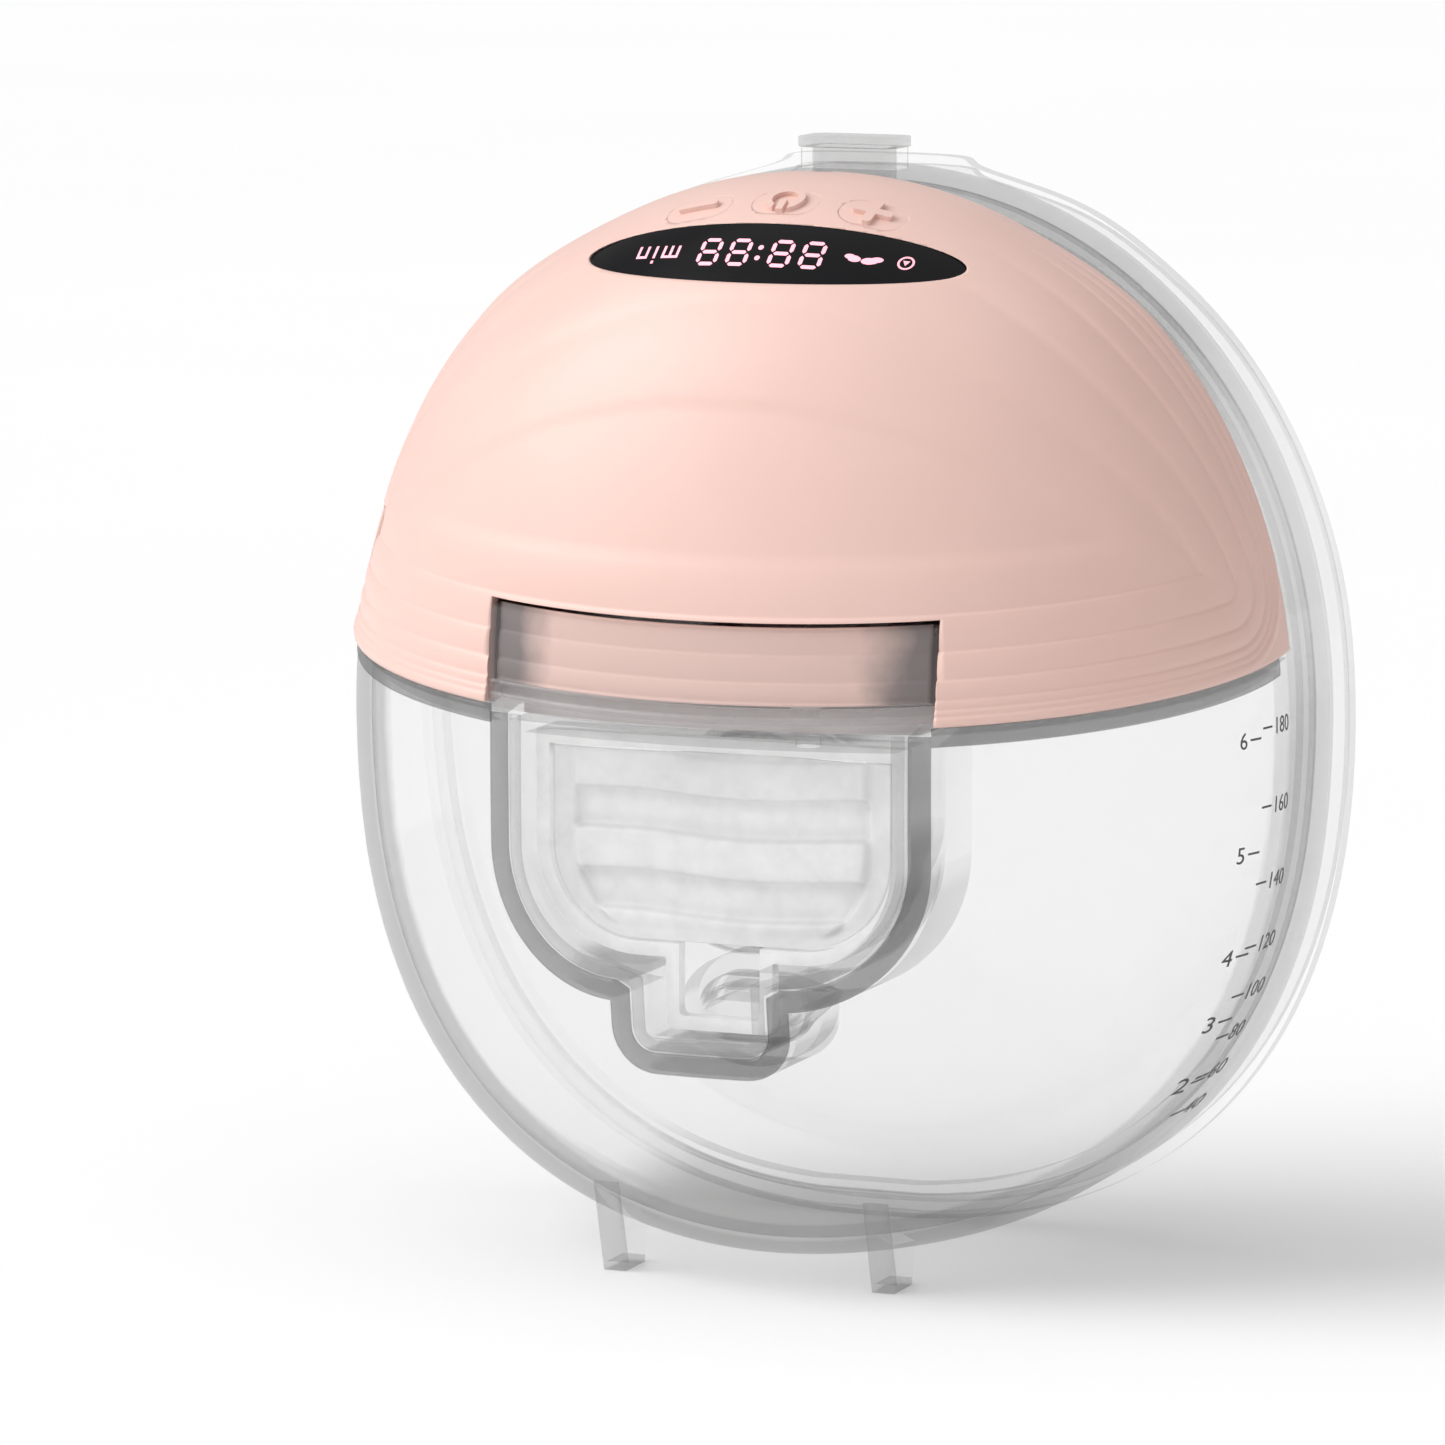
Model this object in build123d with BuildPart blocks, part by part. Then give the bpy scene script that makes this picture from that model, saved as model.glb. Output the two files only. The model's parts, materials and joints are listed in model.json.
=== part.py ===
from build123d import *
import os
from math import copysign, cos, pi, radians, sin, sqrt, tan

os.makedirs("parts", exist_ok=True)

# ---------------------------------------------------------------- driving dimensions, in mm
# The pump stands on its rim and two feet, its domed front faces -Y and the wearer is at +Y.
seam_y = 10.4            # plane where the domed front meets the drum-shaped side wall
drum_depth = 17.2        # side wall, from the seam back to the rim
rim_thick = 2.8          # rim plate of the rear shell
rim_y = seam_y + drum_depth + rim_thick

mid_z = 67.0             # height of the widest section
half_width = 60.0        # domed front and side wall
half_height = 66.0
dome_depth = 43.0
round_up = 2.06          # superellipse exponents, above and below the widest section
round_down = 2.36
round_belly = 3.2        # the same for the lower front, seen from the side

rim_half_width = 62.0
rim_half_height = 67.0

wall = 1.9               # clear cup
cover_wall = 1.8         # pink cover
gap = 0.3                # between parts that come apart
split_front_z = 69.6     # the motor unit sits on a plane that starts this high at the very front
split_tilt = 9.0         # and rises towards the back by this angle

pocket_half_width = 25.6
pocket_floor_z = 39.2
pocket_corner = 15.2
pocket_back_y = seam_y - 26.0
pocket_wall = 2.6
neck_half_width = 8.8
neck_floor_z = 30.5

tunnel_z = 54.0
tunnel_r = 12.0          # nipple tunnel, the 24 mm size
soft_wall = 1.2          # silicone
valve_z = 33.4

foot_x = 17.5
foot_width = 2.8

tab_half_width = 28.5
tab_height = 11.6

display_half_width = 24.2
display_half_height = 4.2
display_y = seam_y - 21.5
display_tilt = 18.0      # the window faces forward and up by this angle
key_y = seam_y - 13.0
key_pitch = 11.2
far = 200.0              # past every part, for cutting planes


# ---------------------------------------------------------------- shared outlines and solids
def at_y(y):
    """Upright plane at depth y. Its normal points to the front."""
    return Plane.XZ.offset(-y)


def half_curve(width, height):
    """Right half of the pump's outline, from its lowest to its highest point."""
    steps = 16
    points = []
    for step in range(steps + 1):
        angle = pi * (step / steps - 0.5)
        power = round_up if angle > 0 else round_down
        x = width * abs(cos(angle)) ** (2 / power)
        z = height * copysign(abs(sin(angle)) ** (2 / power), sin(angle))
        points.append((x, mid_z + z))
    points[0] = (0, mid_z - height)
    points[-1] = (0, mid_z + height)
    return points


def rim_prism(inset, y_front, y_back):
    """The rim's outline, inset all round and extruded along Y."""
    width = rim_half_width - inset
    height = rim_half_height - inset
    with BuildPart() as prism:
        with BuildSketch(at_y(y_back)):
            with BuildLine():
                Spline(half_curve(width, height), tangents=[(1, 0), (-1, 0)])
                mirror(about=Plane.YZ)
            make_face()
        extrude(amount=y_back - y_front)
    return prism.part


def egg(inset):
    """The whole rounded body whose front half is the domed front, inset all round."""
    width = half_width - inset
    height = half_height - inset
    depth = dome_depth - inset
    levels = 15
    with BuildPart() as solid:
        for level in range(levels + 1):
            turn = (0.5 - level / levels) * 0.952 * pi
            rise = sin(turn)
            side_power = round_up if rise > 0 else round_down
            front_power = round_up if rise > 0 else round_belly
            across = width * (1 - abs(rise) ** side_power) ** (1 / side_power)
            deep = depth * (1 - abs(rise) ** front_power) ** (1 / front_power)
            with BuildSketch(Plane((0, seam_y, mid_z + height * rise))):
                Ellipse(across, deep)
        loft()
    return solid.part


def drum_prism(inset, y_front, y_back):
    """The widest section of the domed front, extruded along Y."""
    half = egg(inset) & slab((-far, -far, -far), (far, seam_y, far))
    section = half.faces().sort_by(Axis.Y)[-1]
    with BuildPart() as prism:
        extrude(section.moved(Location((0, y_front - seam_y, 0))), amount=y_back - y_front, dir=(0, 1, 0))
    return prism.part


def dome_point(x, y):
    """A point of the upper dome and its outward normal."""
    across = abs(x) / half_width
    deep = (seam_y - y) / dome_depth
    reach = sqrt(across ** 2 + deep ** 2)
    up = (1 - reach ** round_up) ** (1 / round_up)
    rise = up ** (round_up - 1) / half_height
    run = reach ** (round_up - 2)
    normal = Vector(run * x / half_width ** 2, run * (y - seam_y) / dome_depth ** 2, rise).normalized()
    return Vector(x, y, mid_z + half_height * up), normal


def pocket_prism(inset, y_front, y_back, top_z=80.0):
    """The U-shaped front pocket with its narrow neck, extruded along Y."""
    width = pocket_half_width - inset
    floor = pocket_floor_z + inset
    neck = neck_half_width - inset
    neck_floor = neck_floor_z + inset
    corner = pocket_corner - inset
    with BuildPart() as prism:
        with BuildSketch(at_y(y_back)):
            with Locations((0, (floor + top_z) / 2)):
                Rectangle(2 * width, top_z - floor)
            fillet(vertices().group_by(Axis.Y)[0], corner)
            with Locations((0, (neck_floor + floor + corner) / 2)):
                Rectangle(2 * neck, floor + corner - neck_floor)
            fillet(vertices().group_by(Axis.Y)[0], max(3.0 - inset, 0.8))
        extrude(amount=y_back - y_front)
    return prism.part


def slab(low, high):
    """A plain box from its lowest to its highest corner."""
    with BuildPart() as box:
        middle = [(a + b) / 2 for a, b in zip(low, high)]
        with Locations(tuple(middle)):
            Box(*[b - a for a, b in zip(low, high)])
    return box.part


def funnel(inset):
    """The breast bowl: from the oval at the rim down to the round neck of the tunnel."""
    stations = [(2.6, 58.5, 63.5, mid_z), (0, 55.5, 60.5, mid_z), (-6, 45.5, 49.0, mid_z - 2.5),
                (-12, 29.0, 30.5, mid_z - 8), (-17, 15.4, 15.4, tunnel_z)]
    with BuildPart() as solid:
        for back, across, up, centre in stations:
            with BuildSketch(at_y(rim_y + back)):
                with Locations((0, centre)):
                    Ellipse(across - inset, up - inset)
        loft()
    return solid.part


def oval_prism(plane, across, up, below=9, above=4):
    """An oval plug through the dome, square to the given plane."""
    with BuildPart() as plug:
        with BuildSketch(plane.offset(-below)):
            Ellipse(across, up)
        extrude(amount=below + above)
    return plug.part


def pill_prism(plane, across, up, below=6, above=4):
    """The same with a rounded rectangle."""
    with BuildPart() as plug:
        with BuildSketch(plane.offset(-below)):
            RectangleRounded(across, up, min(across, up) * 0.48)
        extrude(amount=below + above)
    return plug.part


def dome_plane(x, y):
    """Plane that touches the dome, its X along the pump's width."""
    point, normal = dome_point(x, y)
    side = Vector(1, 0, -normal.X / normal.Z)
    return Plane(origin=point, x_dir=side, z_dir=normal)


def split_at(y):
    """Height of the sloping plane between the cup and the motor unit at depth y."""
    return split_front_z + (y - seam_y + dome_depth) * tan(radians(split_tilt))


def beyond_split(stand, side):
    """Everything above (side 1) or below (side -1) the sloping plane, moved up by stand."""
    plane = Plane((0, 0, split_at(0)), x_dir=(1, 0, 0), z_dir=Vector(0, 0, 1).rotate(Axis.X, split_tilt))
    with BuildPart() as half:
        with BuildSketch(plane.offset(stand)):
            Rectangle(2 * far, 2 * far)
        extrude(amount=side * far)
    return half.part


neck_y = rim_y - 17.0                 # back end of the round neck
drum_end_y = seam_y + drum_depth - 1.2
half_gap = 0.1                        # cup and motor unit each stay this far from the sloping plane
link_top_z = split_front_z - half_gap
host_y = seam_y - 0.2                 # back of the motor unit
air_port = (12.0, seam_y - 36.0)
spout_y = seam_y + 10.0
spout_top_z = mid_z + half_height + 2.3

dome_solid = egg(0)
front_half = slab((-far, -far, -far), (far, seam_y, far))
host_space = slab((-far, -far, -far), (far, host_y, far)) & beyond_split(half_gap, 1)
display_centre = dome_point(0, display_y)[0]
display_plane = Plane(display_centre, x_dir=(1, 0, 0), z_dir=Vector(0, -1, 0).rotate(Axis.X, -display_tilt))
key_planes = [dome_plane(side * key_pitch, key_y) for side in (-1, 0, 1)]

# ---------------------------------------------------------------- clear cup, front shell
cup_front_outside = dome_solid & front_half & beyond_split(-half_gap, -1)
cup_front_inside = egg(wall) & front_half & beyond_split(-half_gap - wall, -1)
drum_inside = drum_prism(wall, seam_y, drum_end_y)
shelf_back = slab((-far, seam_y, split_at(seam_y) - half_gap - wall), (far, seam_y + wall, far))
pocket_shell = pocket_prism(-pocket_wall, -far, pocket_back_y + 2.0) & cup_front_outside
foot_space = egg(wall / 2)

with BuildPart() as cup_body:
    add(cup_front_outside)
    add(drum_prism(0, seam_y, drum_end_y))
    add(cup_front_inside, mode=Mode.SUBTRACT)
    add(drum_inside - shelf_back, mode=Mode.SUBTRACT)
    add(pocket_shell)
    with BuildSketch(at_y(pocket_back_y + 4.5)):
        with Locations((0, valve_z)):
            SlotOverall(13.6, 8.0)
    extrude(amount=3.0)
    with BuildSketch(Plane.XY.offset(mid_z + half_height - 1.6)):
        with Locations((0, spout_y)):
            RectangleRounded(12.4, 7.4, 1.8)
    extrude(amount=spout_top_z - (mid_z + half_height - 1.6))
    with BuildSketch(Plane.XY.offset(mid_z + half_height - 8)):
        with Locations((0, spout_y)):
            RectangleRounded(9.8, 4.8, 0.8)
    extrude(amount=12, mode=Mode.SUBTRACT)
    add(pocket_prism(0, -far, pocket_back_y), mode=Mode.SUBTRACT)
    with BuildSketch(at_y(pocket_back_y + 8)):
        with Locations((0, tunnel_z)):
            Circle(tunnel_r + soft_wall + gap)
        with Locations((0, valve_z)):
            SlotOverall(11.6, 6.0)
    extrude(amount=10, mode=Mode.SUBTRACT)

with BuildPart() as feet:
    for side in (-1, 1):
        with BuildSketch(Plane.YZ.offset(side * foot_x - foot_width / 2)):
            with BuildLine():
                Polyline((seam_y - 30, 18), (seam_y - 25, 0), (seam_y - 19, 0), (seam_y - 15, 18),
                         close=True)
            make_face()
        extrude(amount=foot_width)
    add(foot_space, mode=Mode.SUBTRACT)

with BuildPart() as cup_front_shell:
    add(cup_body.part)
    add(feet.part)

cup_front_shell.part.label = "cup_front_shell"
export_step(cup_front_shell.part, "parts/cup_front_shell.step")

# ---------------------------------------------------------------- silicone plug of the pouring spout
with BuildPart() as spout_plug:
    with BuildSketch(Plane.XY.offset(spout_top_z + 0.05)):
        with Locations((0, spout_y)):
            RectangleRounded(13.0, 8.0, 2.0)
    extrude(amount=1.25)
    with BuildSketch(Plane.XY.offset(spout_top_z - 5)):
        with Locations((0, spout_y)):
            RectangleRounded(9.6, 4.6, 0.7)
    extrude(amount=5.1)
spout_plug.part.label = "spout_plug"
export_step(spout_plug.part, "parts/spout_plug.step")

# ---------------------------------------------------------------- rear shell with the breast bowl
with BuildPart() as cup_rear_shell:
    add(rim_prism(0, rim_y - rim_thick, rim_y))
    add(drum_prism(wall + gap, rim_y - rim_thick - 3, rim_y - 1))
    add(drum_prism(wall + gap + 1.6, rim_y - far, rim_y - rim_thick), mode=Mode.SUBTRACT)
    add(funnel(0) - slab((-far, rim_y, -far), (far, far, far)))
    with BuildSketch(at_y(neck_y + 0.5)):
        with Locations((0, tunnel_z)):
            Circle(tunnel_r + soft_wall + gap + 1.3)
    extrude(amount=neck_y - seam_y + 16.5)
    add(funnel(1.8), mode=Mode.SUBTRACT)
    with BuildSketch(at_y(neck_y + 1)):
        with Locations((0, tunnel_z)):
            Circle(tunnel_r + soft_wall + gap)
    extrude(amount=24, mode=Mode.SUBTRACT)
cup_rear_shell.part.label = "cup_rear_shell"
export_step(cup_rear_shell.part, "parts/cup_rear_shell.step")

# ---------------------------------------------------------------- seal between the two cup shells
with BuildPart() as cup_seal_ring:
    add(drum_prism(0, drum_end_y + 0.05, rim_y - rim_thick - 0.05))
    add(drum_prism(wall + gap - 0.1, -far, far), mode=Mode.SUBTRACT)
cup_seal_ring.part.label = "cup_seal_ring"
export_step(cup_seal_ring.part, "parts/cup_seal_ring.step")

# ---------------------------------------------------------------- soft silicone flange
with BuildPart() as silicone_flange:
    add(rim_prism(1.5, rim_y + gap, rim_y + 2.3))
    add(funnel(1.8 + gap))
    with BuildSketch(at_y(neck_y + 0.5)):
        with Locations((0, tunnel_z)):
            Circle(tunnel_r + soft_wall)
    extrude(amount=neck_y + 0.5 - (seam_y - 9))
    add(funnel(1.8 + gap + soft_wall), mode=Mode.SUBTRACT)
    with BuildSketch(at_y(neck_y + 1)):
        with Locations((0, tunnel_z)):
            Circle(tunnel_r)
    extrude(amount=14, mode=Mode.SUBTRACT)
    add(slab((-far, rim_y + 2.3, -far), (far, far, far)), mode=Mode.SUBTRACT)
silicone_flange.part.label = "silicone_flange"
export_step(silicone_flange.part, "parts/silicone_flange.step")

# ---------------------------------------------------------------- linker that fills the pocket
link_back_y = pocket_back_y - gap
link_room = pocket_prism(gap + 1.6, -far, link_back_y - 1.8, link_top_z - 1.6)
with BuildPart() as linker_body:
    add(pocket_prism(gap, -far, link_back_y, link_top_z) & egg(1.65))
    with BuildSketch(at_y(seam_y - 9.3)):
        with Locations((0, tunnel_z)):
            Circle(tunnel_r + soft_wall)
    extrude(amount=seam_y - 9.3 - link_back_y)
    with BuildSketch(at_y(pocket_back_y + 4.4)):
        with Locations((0, valve_z)):
            SlotOverall(11.0, 5.4)
    extrude(amount=5)
    add(link_room, mode=Mode.SUBTRACT)
    with BuildSketch(at_y(seam_y - 9)):
        with Locations((0, tunnel_z)):
            Circle(tunnel_r - 0.2)
    extrude(amount=20, mode=Mode.SUBTRACT)
    with BuildSketch(at_y(pocket_back_y + 5)):
        with Locations((0, valve_z)):
            SlotOverall(9.0, 3.4)
    extrude(amount=9, mode=Mode.SUBTRACT)
    with BuildSketch(Plane.XY.offset(link_top_z - 3)):
        with Locations(air_port):
            Circle(1.5)
    extrude(amount=6, mode=Mode.SUBTRACT)
linker_body.part.label = "linker_body"
export_step(linker_body.part, "parts/linker_body.step")

# ---------------------------------------------------------------- clear front window of the linker
with BuildPart() as linker_cover:
    add(pocket_prism(gap, -far, seam_y - 20, link_top_z) & dome_solid)
    add(egg(1.6), mode=Mode.SUBTRACT)
linker_cover.part.label = "linker_cover"
export_step(linker_cover.part, "parts/linker_cover.step")

# ---------------------------------------------------------------- milky diaphragm and its frame
membrane_y = seam_y - 33.5
with BuildPart() as diaphragm_rim:
    add(pocket_prism(gap + 1.65, membrane_y - 1, membrane_y + 1, link_top_z - 1.65))
    add(pocket_prism(gap + 3.3, -far, far, link_top_z - 3.3), mode=Mode.SUBTRACT)
diaphragm_rim.part.label = "diaphragm_rim"
export_step(diaphragm_rim.part, "parts/diaphragm_rim.step")

wave_pitch = 8.6
wave_height = 0.7
wave_steps = 32
wave_span = 48.0
with BuildPart() as wave_slab:
    with BuildSketch(Plane.YZ.offset(-pocket_half_width)):
        with BuildLine():
            front = []
            back = []
            for step in range(wave_steps + 1):
                z = 26.0 + wave_span * step / wave_steps
                swing = wave_height * cos(2 * pi * (z - neck_floor_z) / wave_pitch)
                front.append((membrane_y - 0.5 + swing, z))
                back.append((membrane_y + 0.5 + swing, z))
            Spline(front)
            Spline(back)
            Line(front[0], back[0])
            Line(front[-1], back[-1])
        make_face()
    extrude(amount=2 * pocket_half_width)
membrane_edge = pocket_prism(gap + 3.6, membrane_y - 3, membrane_y + 3, link_top_z - 3.6)
with BuildPart() as diaphragm_membrane:
    add(wave_slab.part & membrane_edge)
diaphragm_membrane.part.label = "diaphragm_membrane"
export_step(diaphragm_membrane.part, "parts/diaphragm_membrane.step")

# ---------------------------------------------------------------- duckbill valve behind the pocket
collar_y = pocket_back_y + 2.05
lip_y = collar_y + 13.5
with BuildPart() as duckbill_valve:
    with BuildSketch(at_y(collar_y + 4.5)):
        with Locations((0, valve_z)):
            Ellipse(9.2, 7.0)
            SlotOverall(13.7, 8.1, mode=Mode.SUBTRACT)
    extrude(amount=4.5)
    with BuildSketch(at_y(collar_y + 5.5)):
        with Locations((0, valve_z)):
            Ellipse(9.2, 7.0)
            SlotOverall(11.0, 5.4, mode=Mode.SUBTRACT)
    extrude(amount=1)
    with BuildSketch(at_y(collar_y + 5.5)):
        with Locations((0, valve_z)):
            SlotOverall(13.0, 7.4)
    with BuildSketch(at_y(lip_y)):
        with Locations((0, valve_z)):
            SlotOverall(13.0, 1.4)
    loft()
    with BuildSketch(at_y(collar_y + 5.4)):
        with Locations((0, valve_z)):
            SlotOverall(11.0, 5.4)
    with BuildSketch(at_y(lip_y + 0.1)):
        with Locations((0, valve_z)):
            SlotOverall(11.4, 0.3)
    loft(mode=Mode.SUBTRACT)
duckbill_valve.part.label = "duckbill_valve"
export_step(duckbill_valve.part, "parts/duckbill_valve.step")

# ---------------------------------------------------------------- pink cover of the motor unit
tab_sides = slab((-tab_half_width, -far, 0), (tab_half_width, 0, far))
tab_zone = tab_sides & beyond_split(half_gap + gap, 1) & beyond_split(half_gap + gap + tab_height, -1)
window_sides = slab((-tab_half_width - gap, -far, 0), (tab_half_width + gap, 0, far))
tab_window = window_sides & beyond_split(-1, 1) & beyond_split(half_gap + 2 * gap + tab_height, -1)
usb_y = seam_y - 9.0
usb_z = 88.0
flap_zone = slab((-far, usb_y - 5.3, usb_z - 2.9), (0, usb_y + 5.3, usb_z + 2.9))
flap_window = slab((-far, usb_y - 5.9, usb_z - 3.2), (0, usb_y + 6.8, usb_z + 3.2))
flap_pin = (-56.5, usb_y + 5.3)
flap_pin_r = 0.6
boss_spots = [(side * x, z) for x, z in ((52.5, 81.6), (24.0, 121.5)) for side in (-1, 1)]
screw_front_y = seam_y - 11.0

with BuildPart() as cover_skin:
    add(dome_solid & host_space)
    add(egg(cover_wall), mode=Mode.SUBTRACT)
    add(tab_window, mode=Mode.SUBTRACT)
    add(oval_prism(display_plane, display_half_width + 0.15, display_half_height + 0.15),
        mode=Mode.SUBTRACT)
    for plane in key_planes:
        add(pill_prism(plane, 8.7, 5.7), mode=Mode.SUBTRACT)
    add(flap_window & host_space, mode=Mode.SUBTRACT)

with BuildPart() as cover_bosses:
    with BuildSketch(at_y(host_y - 2.2)):
        with Locations(*boss_spots):
            Circle(2.6)
    extrude(amount=host_y - 2.2 - screw_front_y)
    with BuildSketch(at_y(host_y)):
        with Locations(*boss_spots):
            Circle(0.9)
    extrude(amount=9.5, mode=Mode.SUBTRACT)

with BuildPart() as host_cover:
    add(cover_skin.part)
    add(cover_bosses.part & egg(0.8))
host_cover.part.label = "host_cover"
export_step(host_cover.part, "parts/host_cover.step")

# ---------------------------------------------------------------- base and back plate of the motor unit
air_tube_z = split_at(air_port[1]) + 5.2
above_linker = slab((-far, -far, link_top_z + 0.2), (far, far, far))
base_pad = pocket_prism(gap, -far, pocket_back_y - gap) & above_linker
with BuildPart() as host_base:
    add(egg(cover_wall + 0.1) & host_space & beyond_split(half_gap + 2, -1))
    add(egg(cover_wall + 0.1) & host_space & slab((-far, host_y - 2.2, 0), (far, host_y, far)))
    add(base_pad & egg(4.4) & beyond_split(half_gap + 1, -1))
    add(tab_window - egg(4.2), mode=Mode.SUBTRACT)
    with BuildSketch(at_y(host_y)):
        with Locations(*boss_spots):
            Circle(2.1)
    extrude(amount=1.2, mode=Mode.SUBTRACT)
    with BuildSketch(at_y(host_y)):
        with Locations(*boss_spots):
            Circle(1.1)
    extrude(amount=3, mode=Mode.SUBTRACT)
    with Locations((-7.4, seam_y - 34.5, 75.5), (7.4, seam_y - 34.5, 75.5)):
        Box(1.8, 6, 7.0)
    with BuildSketch(Plane.XY.offset(air_tube_z - 4.4)):
        with Locations(air_port):
            Circle(2.4)
    extrude(amount=4.4)
    with BuildSketch(Plane.XY.offset(air_tube_z - 8)):
        with Locations(air_port):
            Circle(1.3)
    extrude(amount=9, mode=Mode.SUBTRACT)
host_base.part.label = "host_base"
export_step(host_base.part, "parts/host_base.step")

with BuildPart() as host_screws:
    with BuildSketch(at_y(host_y - 0.1)):
        with Locations(*boss_spots):
            Circle(1.9)
    extrude(amount=1.1)
    with BuildSketch(at_y(host_y - 1.2)):
        with Locations(*boss_spots):
            Circle(0.85)
    extrude(amount=7.5)
    with BuildSketch(at_y(host_y)):
        with Locations(*boss_spots):
            Rectangle(2.4, 0.5)
    extrude(amount=0.6, mode=Mode.SUBTRACT)
host_screws.part.label = "host_screws"
export_step(host_screws.part, "parts/host_screws.step")

# ---------------------------------------------------------------- smoky release tab in the cover's window
with BuildPart() as release_tab:
    add(tab_zone & dome_solid)
    add(egg(1.7), mode=Mode.SUBTRACT)
    with Locations((0, seam_y - 38.0, 75.4)):
        Box(12.6, 8.0, 3.0)
release_tab.part.label = "release_tab"
export_step(release_tab.part, "parts/release_tab.step")

# ---------------------------------------------------------------- display
with BuildPart() as display_lens:
    add(oval_prism(display_plane, display_half_width, display_half_height) & dome_solid)
    add(egg(1.2), mode=Mode.SUBTRACT)
display_lens.part.label = "display_lens"
export_step(display_lens.part, "parts/display_lens.step")

with BuildPart() as display_module:
    add(pill_prism(display_plane, 38.0, 4.4, 5.5) & egg(cover_wall + 0.15))
    add(egg(4.0), mode=Mode.SUBTRACT)
display_module.part.label = "display_module"
export_step(display_module.part, "parts/display_module.step")

# ---------------------------------------------------------------- minus, power and plus keys
key_crown = egg(-0.6)
key_under = egg(cover_wall)


def key_icon(plane, name):
    """The raised sign on a key."""
    with BuildPart() as icon:
        with BuildSketch(plane.offset(-1)):
            if name == "power":
                with BuildSketch(mode=Mode.PRIVATE) as ring:
                    Circle(2.5)
                    Circle(1.6, mode=Mode.SUBTRACT)
                    with Locations((0, -2.2)):
                        Rectangle(1.9, 1.8, mode=Mode.SUBTRACT)
                add(ring.sketch)
                with Locations((0, -1.5)):
                    Rectangle(0.9, 2.2)
            else:
                RectangleRounded(5.2, 1.2, 0.4)
            if name == "plus":
                RectangleRounded(1.2, 5.0, 0.4)
        extrude(amount=4)
    return icon.part


for plane, name in zip(key_planes, ("minus", "power", "plus")):
    with BuildPart() as key:
        add(pill_prism(plane, 8.4, 5.4) & dome_solid)
        add(key_icon(plane, name) & key_crown)
        add(key_under, mode=Mode.SUBTRACT)
        with BuildSketch(plane.offset(-3.0)):
            Circle(1.2)
        extrude(amount=1.6)
    key.part.label = f"key_{name}"
    export_step(key.part, f"parts/key_{name}.step")

with BuildPart() as key_switches:
    for plane in key_planes:
        with BuildSketch(plane.offset(-5.2)):
            RectangleRounded(4.4, 4.4, 0.4)
        extrude(amount=1.3)
        with BuildSketch(plane.offset(-3.95)):
            Circle(0.9)
        extrude(amount=0.35)
key_switches.part.label = "key_switches"
export_step(key_switches.part, "parts/key_switches.step")

with BuildPart() as key_board:
    add(pill_prism(key_planes[1], 36.0, 8.0, 14, 0) & egg(5.35))
    add(egg(6.1), mode=Mode.SUBTRACT)
key_board.part.label = "key_board"
export_step(key_board.part, "parts/key_board.step")

# ---------------------------------------------------------------- electronics
board_y = seam_y - 26.0
with BuildPart() as main_board:
    add(slab((-24, board_y, 83.6), (24, board_y + 1.2, 105)))
    add(slab((-10, board_y + 1.2, 88), (-2, board_y + 2.6, 96)))
    add(slab((6, board_y + 1.2, 94), (16, board_y + 2.4, 99)))
    with BuildSketch(at_y(board_y)):
        with GridLocations(6, 9, 4, 2):
            with Locations((0, 92)):
                Rectangle(2.4, 1.4)
    extrude(amount=0.7)
main_board.part.label = "main_board"
export_step(main_board.part, "parts/main_board.step")

battery_low = (-39.0, seam_y - 15.0, 78.6)
battery_high = (-8.0, seam_y - 4.5, 104.0)
with BuildPart() as battery:
    add(slab(battery_low, battery_high))
    fillet(battery.edges().filter_by(Axis.Z), 2.5)
battery.part.label = "battery"
export_step(battery.part, "parts/battery.step")

with BuildPart() as usb_board:
    add(slab((-51, usb_y - 6, 84.8), (-40.5, usb_y + 6, 85.9)))
usb_board.part.label = "usb_board"
export_step(usb_board.part, "parts/usb_board.step")

socket_mouth_x = -51.4
with BuildPart() as usb_socket:
    with BuildSketch(Plane.YZ.offset(socket_mouth_x)):
        with Locations((usb_y, usb_z - 0.4)):
            RectangleRounded(9.0, 3.2, 1.4)
            RectangleRounded(8.4, 2.6, 1.2, mode=Mode.SUBTRACT)
    extrude(amount=6.5)
    with BuildSketch(Plane.YZ.offset(socket_mouth_x + 5.5)):
        with Locations((usb_y, usb_z - 0.4)):
            RectangleRounded(9.0, 3.2, 1.4)
    extrude(amount=1.0)
    with BuildSketch(Plane.YZ.offset(socket_mouth_x + 1.0)):
        with Locations((usb_y, usb_z - 0.4)):
            Rectangle(6.6, 0.7)
    extrude(amount=5.0)
usb_socket.part.label = "usb_socket"
export_step(usb_socket.part, "parts/usb_socket.step")

with BuildPart() as usb_port_cover:
    add(flap_zone & dome_solid)
    add(egg(1.0), mode=Mode.SUBTRACT)
    with BuildSketch(Plane.XY.offset(usb_z - 2.9)):
        with Locations(flap_pin):
            Circle(flap_pin_r)
    extrude(amount=5.8)
usb_port_cover.part.label = "usb_port_cover"
export_step(usb_port_cover.part, "parts/usb_port_cover.step")

# ---------------------------------------------------------------- vacuum pump and release valve
motor_x = 33.0
motor_y = seam_y - 13.0
shaft_r = 1.0
hose_z = 81.0
crank_z = 82.7
head_z = 84.2
motor_z = head_z + 6
with BuildPart() as pump_head:
    with Locations((motor_x, motor_y, head_z)):
        Box(20, 18, 12)
        Box(11, 11, 8, mode=Mode.SUBTRACT)
    with BuildSketch(Plane.XY.offset(head_z - 1)):
        with Locations((motor_x, motor_y)):
            Circle(shaft_r + 0.05)
    extrude(amount=10, mode=Mode.SUBTRACT)
    with BuildSketch(Plane.YZ.offset(motor_x - 13)):
        with Locations((seam_y - 18.0, hose_z)):
            Circle(1.1)
    extrude(amount=3.2)
pump_head.part.label = "pump_head"
export_step(pump_head.part, "parts/pump_head.step")

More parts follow.
